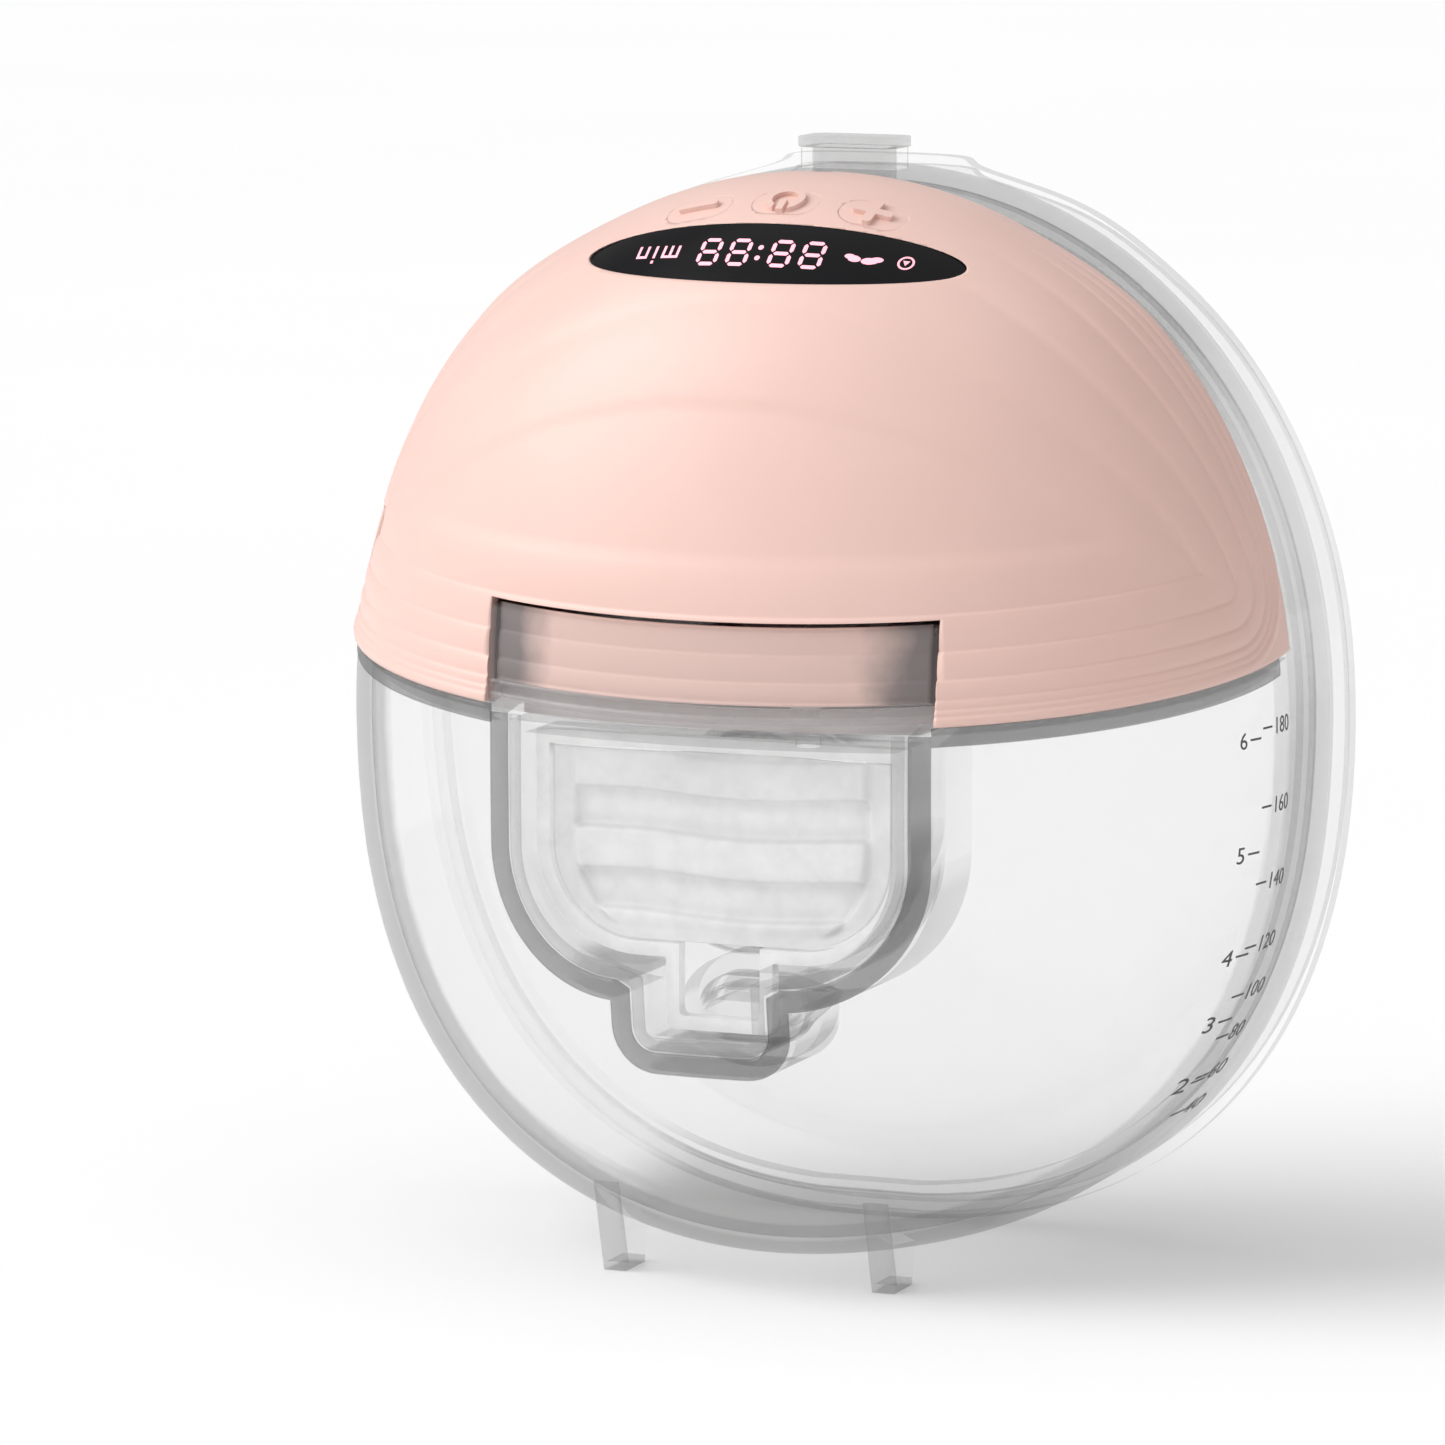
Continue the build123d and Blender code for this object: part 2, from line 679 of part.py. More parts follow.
with BuildPart() as vacuum_motor:
    with BuildSketch(Plane.XY.offset(motor_z)):
        with Locations((motor_x, motor_y)):
            Circle(8.0)
            Circle(shaft_r + 0.05, mode=Mode.SUBTRACT)
    extrude(amount=14.5)
vacuum_motor.part.label = "vacuum_motor"
export_step(vacuum_motor.part, "parts/vacuum_motor.step")

with BuildPart() as motor_shaft:
    with BuildSketch(Plane.XY.offset(crank_z)):
        with Locations((motor_x, motor_y)):
            Circle(shaft_r)
    extrude(amount=motor_z + 15.8 - crank_z)
motor_shaft.part.label = "motor_shaft"
export_step(motor_shaft.part, "parts/motor_shaft.step")

with BuildPart() as eccentric:
    with BuildSketch(Plane.XY.offset(crank_z)):
        with Locations((motor_x + 1.2, motor_y)):
            Circle(3.4)
        with Locations((motor_x, motor_y)):
            Circle(shaft_r, mode=Mode.SUBTRACT)
    extrude(amount=3)
eccentric.part.label = "eccentric"
export_step(eccentric.part, "parts/eccentric.step")

valve_low = (3.0, seam_y - 15.0, 78.6)
valve_high = (14.0, seam_y - 5.0, 91.6)
plunger_spot = ((valve_low[0] + valve_high[0]) / 2, (valve_low[1] + valve_high[1]) / 2)
with BuildPart() as release_valve:
    add(slab(valve_low, valve_high))
    with BuildSketch(Plane.XY.offset(valve_low[2] + 4)):
        with Locations(plunger_spot):
            Circle(1.65)
    extrude(amount=12, mode=Mode.SUBTRACT)
release_valve.part.label = "release_valve"
export_step(release_valve.part, "parts/release_valve.step")

with BuildPart() as valve_plunger:
    with BuildSketch(Plane.XY.offset(valve_low[2] + 6)):
        with Locations(plunger_spot):
            Circle(1.6)
    extrude(amount=9.5)
    with BuildSketch(Plane.XY.offset(valve_high[2] + 2)):
        with Locations(plunger_spot):
            Circle(2.6)
    extrude(amount=1.2)
valve_plunger.part.label = "valve_plunger"
export_step(valve_plunger.part, "parts/valve_plunger.step")

with BuildPart() as air_hose:
    with BuildLine() as route:
        FilletPolyline((motor_x - 10.2, seam_y - 18.0, hose_z), (air_port[0], seam_y - 18.0, hose_z),
                       (air_port[0], air_port[1], hose_z), (air_port[0], air_port[1], air_tube_z + 0.1),
                       radius=1.9)
    with BuildSketch(Plane(origin=route.line @ 0, z_dir=route.line % 0)):
        Circle(1.7)
        Circle(1.2, mode=Mode.SUBTRACT)
    sweep()
air_hose.part.label = "air_hose"
export_step(air_hose.part, "parts/air_hose.step")

with BuildPart() as air_seal:
    with BuildSketch(Plane.XY.offset(link_top_z + 0.05)):
        with Locations(air_port):
            Circle(2.3)
            Circle(1.3, mode=Mode.SUBTRACT)
    extrude(amount=0.15)
air_seal.part.label = "air_seal"
export_step(air_seal.part, "parts/air_seal.step")
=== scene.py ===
import json
from math import asin, cos, hypot, pi, radians, sin, sqrt, tan

import bmesh
import bpy
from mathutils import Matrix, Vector


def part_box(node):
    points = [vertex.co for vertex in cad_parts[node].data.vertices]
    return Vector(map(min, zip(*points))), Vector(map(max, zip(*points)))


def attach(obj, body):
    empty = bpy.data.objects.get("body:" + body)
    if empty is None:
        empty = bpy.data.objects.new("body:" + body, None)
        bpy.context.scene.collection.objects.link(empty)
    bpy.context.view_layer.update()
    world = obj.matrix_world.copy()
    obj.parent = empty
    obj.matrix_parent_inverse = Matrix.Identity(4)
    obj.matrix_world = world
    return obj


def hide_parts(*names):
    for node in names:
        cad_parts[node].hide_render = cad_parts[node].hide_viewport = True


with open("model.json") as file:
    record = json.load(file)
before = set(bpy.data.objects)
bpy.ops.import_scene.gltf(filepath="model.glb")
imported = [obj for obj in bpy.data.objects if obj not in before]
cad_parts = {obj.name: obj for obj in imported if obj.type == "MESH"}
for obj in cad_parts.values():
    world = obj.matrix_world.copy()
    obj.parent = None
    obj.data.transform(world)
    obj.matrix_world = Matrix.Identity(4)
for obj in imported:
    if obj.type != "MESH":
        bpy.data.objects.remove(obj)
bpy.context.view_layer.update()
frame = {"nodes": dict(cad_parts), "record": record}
MM = 0.001

# ---------------------------------------------------------------- the dome's shape, as the CAD has it
cover_low, cover_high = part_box("host_cover")
SEAM = cover_high.y + 0.2 * MM
SPLIT_FRONT, SPLIT_TILT = cover_low.z, radians(9)
WIDE, HIGH, DEEP, MID = 60 * MM, 66 * MM, 43 * MM, 67 * MM
ROUND_UP, ROUND_DOWN, ROUND_BELLY = 2.06, 2.36, 3.2


def reach(height, power):
    """How much of its full width the dome still has at a relative height from -1 to 1."""
    left = max(0.0, 1 - min(1.0, abs(height)) ** power)
    return left ** (1 / power)


def section(z, inset=0.0):
    """Half-width and depth of the dome at height z."""
    height = (z - MID) / (HIGH - inset)
    side = ROUND_UP if height > 0 else ROUND_DOWN
    front = ROUND_UP if height > 0 else ROUND_BELLY
    return (WIDE - inset) * reach(height, side), (DEEP - inset) * reach(height, front)


def split_at(y):
    """Height of the cover's sloping underside at depth y."""
    return SPLIT_FRONT + (y - SEAM + DEEP) * tan(SPLIT_TILT)


def outside(point, inset=0.0):
    """Above zero outside the dome or the drum behind it, below zero inside."""
    across, deep = section(point.z, inset)
    if across < 1e-6 or deep < 1e-6:
        return 1.0
    back = min(0.0, point.y - SEAM)
    return (point.x / across) ** 2 + (back / deep) ** 2 - 1


def land(point, direction, length=60 * MM):
    """Where a line from an outside point meets the surface."""
    near, far = 0.0, length
    steps = 60
    for step in range(1, steps + 1):
        t = length * step / steps
        if outside(point + direction * t) < 0:
            far = t
            break
        near = t
    for _ in range(24):
        t = (near + far) / 2
        if outside(point + direction * t) < 0:
            far = t
        else:
            near = t
    return point + direction * far


def normal_at(point):
    """Outward normal of the surface."""
    step = 0.05 * MM
    slope = Vector((0, 0, 0))
    for axis in range(3):
        offset = Vector((0, 0, 0))
        offset[axis] = step
        slope[axis] = outside(point + offset) - outside(point - offset)
    return slope.normalized()


# ---------------------------------------------------------------- materials
def new_material(name):
    material = bpy.data.materials.new(name)
    material.use_nodes = True
    nodes = material.node_tree.nodes
    nodes.clear()
    return material, nodes, material.node_tree.links


def add_noise(nodes, links, scale, detail=4.0):
    """Object-space noise."""
    place = nodes.new("ShaderNodeTexCoord")
    noise = nodes.new("ShaderNodeTexNoise")
    noise.inputs["Scale"].default_value = scale
    noise.inputs["Detail"].default_value = detail
    links.new(place.outputs["Object"], noise.inputs["Vector"])
    return noise


def add_range(nodes, links, source, low, high):
    """The source from 0 to 1, stretched to low to high."""
    span = nodes.new("ShaderNodeMapRange")
    span.inputs["To Min"].default_value = low
    span.inputs["To Max"].default_value = high
    links.new(source, span.inputs["Value"])
    return span.outputs["Result"]


def add_bump(nodes, links, source, strength, distance):
    bump = nodes.new("ShaderNodeBump")
    bump.inputs["Strength"].default_value = strength
    bump.inputs["Distance"].default_value = distance
    links.new(source, bump.inputs["Height"])
    return bump.outputs["Normal"]


FINE_GRAIN, HAZE_GRAIN = 900.0, 300.0
EDGE_FROM, EDGE_TO = 0.655, 0.70


def moulded(name, low_colour, high_colour, roughness, bump=0.15, sheen=0.0, metal=0.0, patch=40.0,
            emission=0.0, specular=0.5):
    """Opaque moulded part: broad colour variation, fine grain, uneven roughness."""
    material, nodes, links = new_material(name)
    out = nodes.new("ShaderNodeOutputMaterial")
    shader = nodes.new("ShaderNodeBsdfPrincipled")
    broad = add_noise(nodes, links, patch)
    fine = add_noise(nodes, links, FINE_GRAIN, 6.0)
    ramp = nodes.new("ShaderNodeValToRGB")
    ramp.color_ramp.elements[0].position = 0.3
    ramp.color_ramp.elements[0].color = (*low_colour, 1)
    ramp.color_ramp.elements[1].position = 0.7
    ramp.color_ramp.elements[1].color = (*high_colour, 1)
    links.new(broad.outputs["Fac"], ramp.inputs["Fac"])
    links.new(ramp.outputs["Color"], shader.inputs["Base Color"])
    rough = add_range(nodes, links, fine.outputs["Fac"], roughness - 0.06, roughness + 0.06)
    links.new(rough, shader.inputs["Roughness"])
    links.new(add_bump(nodes, links, fine.outputs["Fac"], bump, 0.05 * MM), shader.inputs["Normal"])
    shader.inputs["Metallic"].default_value = metal
    shader.inputs["Sheen Weight"].default_value = sheen
    shader.inputs["Sheen Roughness"].default_value = 0.4
    shader.inputs["Specular IOR Level"].default_value = specular
    if emission:
        shader.inputs["Emission Color"].default_value = (*high_colour, 1)
        shader.inputs["Emission Strength"].default_value = emission
    links.new(shader.outputs["BSDF"], out.inputs["Surface"])
    return material


def see_through(name, tint, haze, haze_colour, gloss_roughness, density, murk, glow=0.0, edge=1.0,
                painted_crease_shade=0.0, painted_glow=0.0):
    """Clear or translucent part. Light passes straight, is absorbed along its way through the
    wall, glances off at shallow angles, and a share of it is scattered by the haze. Where the
    wall turns edge-on, each of its faces passes only the share called edge. With a crease
    share, painted shade from an ambient occlusion node darkens the haze in the piece's own
    folds. The painted glow is emission in the haze colour, standing in for light scattered inside."""
    material, nodes, links = new_material(name)
    out = nodes.new("ShaderNodeOutputMaterial")
    clear = nodes.new("ShaderNodeBsdfTransparent")
    turned = nodes.new("ShaderNodeLayerWeight")
    turned.inputs["Blend"].default_value = 0.5
    rim = nodes.new("ShaderNodeValToRGB")
    rim.color_ramp.elements[0].position = EDGE_FROM
    rim.color_ramp.elements[0].color = (*tint, 1)
    rim.color_ramp.elements[1].position = EDGE_TO
    rim.color_ramp.elements[1].color = (*[c * edge for c in tint], 1)
    links.new(turned.outputs["Facing"], rim.inputs["Fac"])
    links.new(rim.outputs["Color"], clear.inputs["Color"])
    cloud = nodes.new("ShaderNodeBsdfPrincipled")
    fine = add_noise(nodes, links, HAZE_GRAIN, 5.0)
    shade = nodes.new("ShaderNodeValToRGB")
    shade.color_ramp.elements[0].color = (*[c * 0.94 for c in haze_colour], 1)
    shade.color_ramp.elements[1].color = (*haze_colour, 1)
    links.new(fine.outputs["Fac"], shade.inputs["Fac"])
    haze_tone_and_painted_shade = shade.outputs["Color"]
    if painted_crease_shade:
        # Painted shade: an ambient occlusion node darkens the haze colour in the piece's own folds.
        painted_shade_occlusion = nodes.new("ShaderNodeAmbientOcclusion")
        painted_shade_occlusion.only_local = True
        painted_shade_occlusion.inputs["Distance"].default_value = 2.0 * MM
        painted_fold_shade = nodes.new("ShaderNodeMix")
        painted_fold_shade.data_type = "RGBA"
        painted_fold_shade.blend_type = "MULTIPLY"
        painted_fold_shade.inputs["Factor"].default_value = painted_crease_shade
        links.new(haze_tone_and_painted_shade, painted_fold_shade.inputs["A"])
        links.new(painted_shade_occlusion.outputs["AO"], painted_fold_shade.inputs["B"])
        haze_tone_and_painted_shade = painted_fold_shade.outputs["Result"]
    links.new(haze_tone_and_painted_shade, cloud.inputs["Base Color"])
    # Painted glow: the haze emits its own colour, standing in for light scattered inside the silicone.
    links.new(haze_tone_and_painted_shade, cloud.inputs["Emission Color"])
    cloud.inputs["Emission Strength"].default_value = painted_glow
    cloud.inputs["Roughness"].default_value = 0.5
    scatter = cloud.outputs[0]
    if glow:
        through = nodes.new("ShaderNodeBsdfTranslucent")
        links.new(haze_tone_and_painted_shade, through.inputs["Color"])
        both = nodes.new("ShaderNodeMixShader")
        both.inputs[0].default_value = glow
        links.new(scatter, both.inputs[1])
        links.new(through.outputs[0], both.inputs[2])
        scatter = both.outputs[0]
    body = nodes.new("ShaderNodeMixShader")
    links.new(add_range(nodes, links, fine.outputs["Fac"], haze * 0.85, haze * 1.15), body.inputs[0])
    links.new(clear.outputs[0], body.inputs[1])
    links.new(scatter, body.inputs[2])
    gloss = nodes.new("ShaderNodeBsdfGlossy")
    links.new(add_range(nodes, links, fine.outputs["Fac"], gloss_roughness * 0.7, gloss_roughness * 1.3),
              gloss.inputs["Roughness"])
    glance = nodes.new("ShaderNodeLayerWeight")
    glance.inputs["Blend"].default_value = 0.06
    skin = nodes.new("ShaderNodeMixShader")
    links.new(add_range(nodes, links, glance.outputs["Facing"], 0.01, 0.45), skin.inputs[0])
    links.new(body.outputs[0], skin.inputs[1])
    links.new(gloss.outputs[0], skin.inputs[2])
    links.new(skin.outputs[0], out.inputs["Surface"])
    if density:
        volume = nodes.new("ShaderNodeVolumeAbsorption")
        volume.inputs["Color"].default_value = (*murk, 1)
        volume.inputs["Density"].default_value = density
        links.new(volume.outputs[0], out.inputs["Volume"])
    return material


PINK_LOW, PINK_HIGH = (0.80, 0.54, 0.475), (0.83, 0.57, 0.505)
MATERIALS = {
    "host_pink": moulded("soft_touch_pink", PINK_LOW, PINK_HIGH, 0.42, sheen=0.15, bump=0.12),
    "host_white": moulded("moulded_white", (0.72, 0.71, 0.70), (0.78, 0.77, 0.76), 0.4),
    "display_black": moulded("window_black", (0.004, 0.004, 0.005), (0.007, 0.007, 0.008), 0.22, bump=0.02,
                             specular=0.1),
    "led_pink": moulded("lit_segments", (0.85, 0.30, 0.36), (0.95, 0.42, 0.50), 0.5, emission=0.75),
    "clear_plastic": see_through("clear_cup", (0.999, 0.999, 0.999), 0.003, (0.95, 0.95, 0.95), 0.03, 12.0,
                                 (0.5, 0.5, 0.5), edge=0.80),
    "smoky_plastic": see_through("smoky_tab", (0.97, 0.96, 0.96), 0.10, (0.62, 0.58, 0.58), 0.22, 60.0,
                                 (0.45, 0.42, 0.42)),
    "silicone_clear": see_through("clear_silicone", (0.985, 0.985, 0.985), 0.06, (0.95, 0.95, 0.96), 0.2, 0.0,
                                  (0.5, 0.5, 0.5), glow=0.4, edge=0.82),
    # Milky silicone: painted shade in its folds and a painted glow from emission in its haze.
    "silicone_milky": see_through("milky_silicone", (0.98, 0.98, 0.98), 0.7, (0.97, 0.97, 0.97), 0.3, 0.0,
                                  (0.9, 0.9, 0.9), glow=0.25, painted_crease_shade=1.0, painted_glow=0.42),
    "silicone_grey": see_through("grey_silicone", (0.94, 0.94, 0.94), 0.14, (0.5, 0.51, 0.5), 0.3, 35.0,
                                 (0.5, 0.5, 0.5), glow=0.4),
    "switch_black": moulded("moulded_black", (0.02, 0.02, 0.02), (0.035, 0.035, 0.035), 0.45),
    "board_green": moulded("solder_mask", (0.01, 0.12, 0.04), (0.02, 0.17, 0.06), 0.3, patch=300.0),
    "battery_silver": moulded("foil_pouch", (0.5, 0.5, 0.52), (0.62, 0.62, 0.64), 0.3, metal=0.8, bump=0.3),
    "steel": moulded("brushed_steel", (0.5, 0.5, 0.52), (0.6, 0.6, 0.62), 0.3, metal=1.0),
    "brass": moulded("turned_brass", (0.6, 0.42, 0.18), (0.7, 0.5, 0.22), 0.3, metal=1.0),
}
CUP_EDGE = see_through("cup_wall_edge", (0.66, 0.66, 0.66), 0.04, (0.6, 0.6, 0.6), 0.08, 0.0, (0.5, 0.5, 0.5))
LINKER_EDGE = see_through("linker_wall_edge", (0.86, 0.86, 0.86), 0.08, (0.85, 0.85, 0.85), 0.08, 0.0,
                          (0.5, 0.5, 0.5))
PRINT = moulded("scale_print", (0.05, 0.05, 0.055), (0.08, 0.08, 0.085), 0.5)

for part in frame["record"]["subparts"]:
    mesh = frame["nodes"][part["node"]].data
    mesh.materials.clear()
    mesh.materials.append(MATERIALS[part["material_slot"]])


# ---------------------------------------------------------------- mesh helpers
def mesh_object(name, points, faces, material, smooth=True):
    mesh = bpy.data.meshes.new(name)
    mesh.from_pydata([tuple(p) for p in points], [], faces)
    mesh.update()
    for face in mesh.polygons:
        face.use_smooth = smooth
    mesh.materials.append(material)
    piece = bpy.data.objects.new(name, mesh)
    bpy.context.scene.collection.objects.link(piece)
    return piece


def face_outwards(piece):
    mesh = bmesh.new()
    mesh.from_mesh(piece.data)
    bmesh.ops.recalc_face_normals(mesh, faces=mesh.faces)
    mesh.to_mesh(piece.data)
    mesh.free()


def dispose(piece):
    bpy.data.objects.remove(piece, do_unlink=True)


def cut(piece, cutters):
    """Cuts solids out of a piece and removes them."""
    for cutter in cutters:
        step = piece.modifiers.new("cut", "BOOLEAN")
        step.operation = "DIFFERENCE"
        step.solver = "EXACT"
        step.object = cutter
    bpy.context.view_layer.update()
    graph = bpy.context.evaluated_depsgraph_get()
    mesh = bpy.data.meshes.new_from_object(piece.evaluated_get(graph))
    piece.modifiers.clear()
    piece.data = mesh
    for cutter in cutters:
        dispose(cutter)


def prism(name, outline, origin, x_dir, y_dir, low, high):
    """A closed solid: the outline's points (u, v) pushed from low to high along the normal."""
    normal = x_dir.cross(y_dir).normalized()
    rings = [[origin + x_dir * u + y_dir * v + normal * h for u, v in outline] for h in (low, high)]
    count = len(outline)
    faces = [tuple(reversed(range(count))), tuple(range(count, 2 * count))]
    for i in range(count):
        j = (i + 1) % count
        faces.append((i, j, count + j, count + i))
    piece = mesh_object(name, rings[0] + rings[1], faces, MATERIALS["host_white"], smooth=False)
    face_outwards(piece)
    return piece


def ellipse(across, up, count=72):
    return [(across * cos(2 * pi * i / count), up * sin(2 * pi * i / count)) for i in range(count)]


def rounded_box(width, height, radius, count=10):
    """Outline of a rectangle with round corners."""
    points = []
    for corner, (sx, sy) in enumerate(((1, 1), (-1, 1), (-1, -1), (1, -1))):
        for i in range(count + 1):
            angle = pi / 2 * (corner + i / count)
            points.append((sx * (width / 2 - radius) + radius * cos(angle),
                           sy * (height / 2 - radius) + radius * sin(angle)))
    return points


# ---------------------------------------------------------------- pink cover with its terraces
STEPS = [1.0 * MM, 1.8 * MM, 2.9 * MM, 5.2 * MM, 8.4 * MM, 12.6 * MM, 18.5 * MM]
STEP_HEIGHT = 0.19 * MM
STEP_EDGE = 0.16 * MM
CORNER = 11 * MM


def smooth_step(value, low, high):
    t = min(1.0, max(0.0, (value - low) / (high - low)))
    return t * t * (3 - 2 * t)


def edge_distance(point):
    """Distance to the cover's lower and back edges, measured round their corner."""
    up = max(0.0, point.z - split_at(point.y)) * cos(SPLIT_TILT)
    spread = 1 + 1.1 * smooth_step(point.z, MID + 12 * MM, MID + 54 * MM)
    back = max(0.0, SEAM - point.y) / spread
    if up < CORNER and back < CORNER:
        return CORNER - hypot(CORNER - up, CORNER - back)
    return min(up, back)


def terrace(point):
    """How far the cover's skin stands off the dome here."""
    distance = edge_distance(point)
    fade = 1 - smooth_step(point.z, MID + 48 * MM, MID + 61 * MM)
    height = 0.0
    inner = 0.0
    for outer in STEPS:
        height += STEP_HEIGHT * (1 - smooth_step(distance, outer - STEP_EDGE, outer + STEP_EDGE))
        if inner <= distance < outer:
            across = (distance - inner) / (outer - inner)
            swell = min(0.2 * MM, 0.11 * (outer - inner))
            height += swell * 4 * across * (1 - across)
        inner = outer
    sunk = -0.75 * MM * (1 - smooth_step(point.z, MID + 2 * MM, MID + 56 * MM))
    return sunk + height * fade


def spaced(length, edge, fine, coarse):
    """Distances from 0 to length, closely spaced up to edge and then growing wider."""
    values = [0.0]
    while values[-1] < length:
        step = fine if values[-1] < edge else min(coarse, fine + (values[-1] - edge) * 0.15)
        values.append(values[-1] + step)
    return [v * length / values[-1] for v in values]


def dome_grid(inset, offset, levels, fractions):
    """Points of the cover's part of the dome, row by row from its lower edge to its top."""
    rows = [[] for _ in levels]
    top = 0.494 * pi
    for fraction in fractions:
        low = MID
        for _ in range(8):
            across, deep = section(low, inset)
            low = split_at(SEAM - deep * sin(pi * fraction))
        start = asin((low - MID) / (HIGH - inset))
        for row, level in zip(rows, levels):
            z = MID + (HIGH - inset) * sin(start + (top - start) * level)
            across, deep = section(z, inset)
            first = asin(0.2 * MM / deep)
            turn = first + (pi - 2 * first) * fraction
            point = Vector((across * cos(turn), SEAM - deep * sin(turn), z))
            if offset:
                point += normal_at(point) * offset(point)
            row.append(point)
    for row in rows:
        row[0].y = row[-1].y = SEAM - 0.2 * MM
    for point in rows[0]:
        point.z = split_at(point.y)
    return rows


def shell_solid(name, outer, inner, material):
    """Closes two matching grids into one solid."""
    rows, columns = len(outer), len(outer[0])
    points = [p for row in outer for p in row] + [p for row in inner for p in row]
    half = rows * columns
    faces = []
    for i in range(rows - 1):
        for j in range(columns - 1):
            a = i * columns + j
            faces.append((a, a + 1, a + columns + 1, a + columns))
            faces.append((half + a, half + a + columns, half + a + columns + 1, half + a + 1))
    rim = list(range(columns))
    rim += [i * columns + columns - 1 for i in range(1, rows)]
    rim += [(rows - 1) * columns + j for j in range(columns - 2, -1, -1)]
    rim += [i * columns for i in range(rows - 2, 0, -1)]
    for k, a in enumerate(rim):
        b = rim[(k + 1) % len(rim)]
        faces.append((b, a, half + a, half + b))
    piece = mesh_object(name, points, faces, material)
    face_outwards(piece)
    return piece


detail = 1.0
levels = spaced(95 * MM, 13.5 * MM, 0.16 * MM * detail, 0.9 * MM)
levels = [level / levels[-1] for level in levels]
half_turn = spaced(70 * MM, 14 * MM, 0.2 * MM * detail, 0.9 * MM)
turns = [0.5 * v / half_turn[-1] for v in half_turn]
turns += [1 - t for t in reversed(turns[:-1])]
cover_outer = dome_grid(0.0, terrace, levels, turns)
cover_inner = dome_grid(1.8 * MM, None, levels, turns)
host_skin = shell_solid("host_skin", cover_outer, cover_inner, MATERIALS["host_pink"])

# the display window looks forward and a little up, the keys face along the dome's normal
X_AXIS = Vector((1, 0, 0))
DISPLAY_TILT = radians(18)
DISPLAY_BACK = 21.5 * MM
DISPLAY_WIDE, DISPLAY_TALL = 24.2 * MM, 4.2 * MM
KEY_GAP, KEY_BACK, KEY_WIDE, KEY_TALL = 11.2 * MM, 13 * MM, 8.44 * MM, 5.44 * MM
DOWN, ABOVE = Vector((0, 0, -1)), 200 * MM
display_out = Vector((0, -cos(DISPLAY_TILT), sin(DISPLAY_TILT)))
display_up = display_out.cross(X_AXIS)
display_spot = land(Vector((0, SEAM - DISPLAY_BACK, ABOVE)), DOWN, ABOVE)
key_spots = [land(Vector((side * KEY_GAP, SEAM - KEY_BACK, ABOVE)), DOWN, ABOVE) for side in (-1, 0, 1)]

cutters = [prism("display_cutter", ellipse(DISPLAY_WIDE + 0.12 * MM, DISPLAY_TALL + 0.12 * MM),
                 display_spot, X_AXIS, display_up, -9 * MM, 6 * MM)]
for number, spot in enumerate(key_spots):
    out = normal_at(spot)
    side = Vector((1, 0, -out.x / out.z)).normalized()
    outline = rounded_box(KEY_WIDE, KEY_TALL, 2.61 * MM)
    cutters.append(prism(f"key_cutter_{number}", outline, spot, side, out.cross(side), -6 * MM, 4 * MM))
tab_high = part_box("release_tab")[1]
TAB_HALF, TAB_FOOT, TAB_TOP = tab_high.x, 0.3 * MM, 11.9 * MM
SLOPE = Vector((0, cos(SPLIT_TILT), sin(SPLIT_TILT)))
window = TAB_HALF + 0.12 * MM
cutters.append(prism("tab_cutter", [(-window, -0.08), (window, -0.08), (window, 0.0), (-window, 0.0)],
                     Vector((0, 0, split_at(0))), X_AXIS, SLOPE, -2 * MM, TAB_TOP + 0.1 * MM))
flap_low, flap_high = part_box("usb_port_cover")
cutters.append(prism("flap_cutter", [(-0.08, flap_low.y - 0.5 * MM), (-0.03, flap_low.y - 0.5 * MM),
                                     (-0.03, flap_high.y + 0.9 * MM), (-0.08, flap_high.y + 0.9 * MM)],
                     Vector((0, 0, flap_low.z - 0.3 * MM)), X_AXIS, Vector((0, 1, 0)), 0.0,
                     flap_high.z - flap_low.z + 0.6 * MM))
cut(host_skin, cutters)
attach(host_skin, "host")
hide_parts("host_cover")


# ---------------------------------------------------------------- rippled panel behind the smoky tab
def tab_panel_material():
    """Pink that turns to dark grey towards the panel's ends, where the tab's frame is."""
    material, nodes, links = new_material("tab_panel_pink")
    out = nodes.new("ShaderNodeOutputMaterial")
    shader = nodes.new("ShaderNodeBsdfPrincipled")
    place = nodes.new("ShaderNodeTexCoord")
    split = nodes.new("ShaderNodeSeparateXYZ")
    links.new(place.outputs["Object"], split.inputs[0])
    across = nodes.new("ShaderNodeMath")
    across.operation = "ABSOLUTE"
    links.new(split.outputs["X"], across.inputs[0])
    patch = add_noise(nodes, links, 180.0)
    sway = nodes.new("ShaderNodeMath")
    sway.operation = "ADD"
    links.new(across.outputs[0], sway.inputs[0])
    links.new(add_range(nodes, links, patch.outputs["Fac"], -3.0 * MM, 3.0 * MM), sway.inputs[1])
    ends = nodes.new("ShaderNodeMapRange")
    ends.inputs["From Min"].default_value = 19.5 * MM
    ends.inputs["From Max"].default_value = 25.0 * MM
    links.new(sway.outputs[0], ends.inputs["Value"])
    ramp = nodes.new("ShaderNodeValToRGB")
    ramp.color_ramp.elements[0].color = (0.86, 0.62, 0.55, 1)
    ramp.color_ramp.elements[1].color = (0.20, 0.17, 0.165, 1)
    links.new(ends.outputs[0], ramp.inputs["Fac"])
    links.new(ramp.outputs["Color"], shader.inputs["Base Color"])
    shader.inputs["Roughness"].default_value = 0.5
    links.new(shader.outputs[0], out.inputs["Surface"])
    return material


def on_dome(x, z):
    """The point of the dome's front at a given x and height."""
    across, deep = section(z)
    return Vector((x, SEAM - deep * sqrt(max(0.0, 1 - (x / across) ** 2)), z))


def on_slope(x, height):
    """The point of the dome's front that stands a given height over the sloping split."""
    z = SPLIT_FRONT + height
    for _ in range(8):
        point = on_dome(x, z)
        z = split_at(point.y) + height
    return on_dome(x, z)


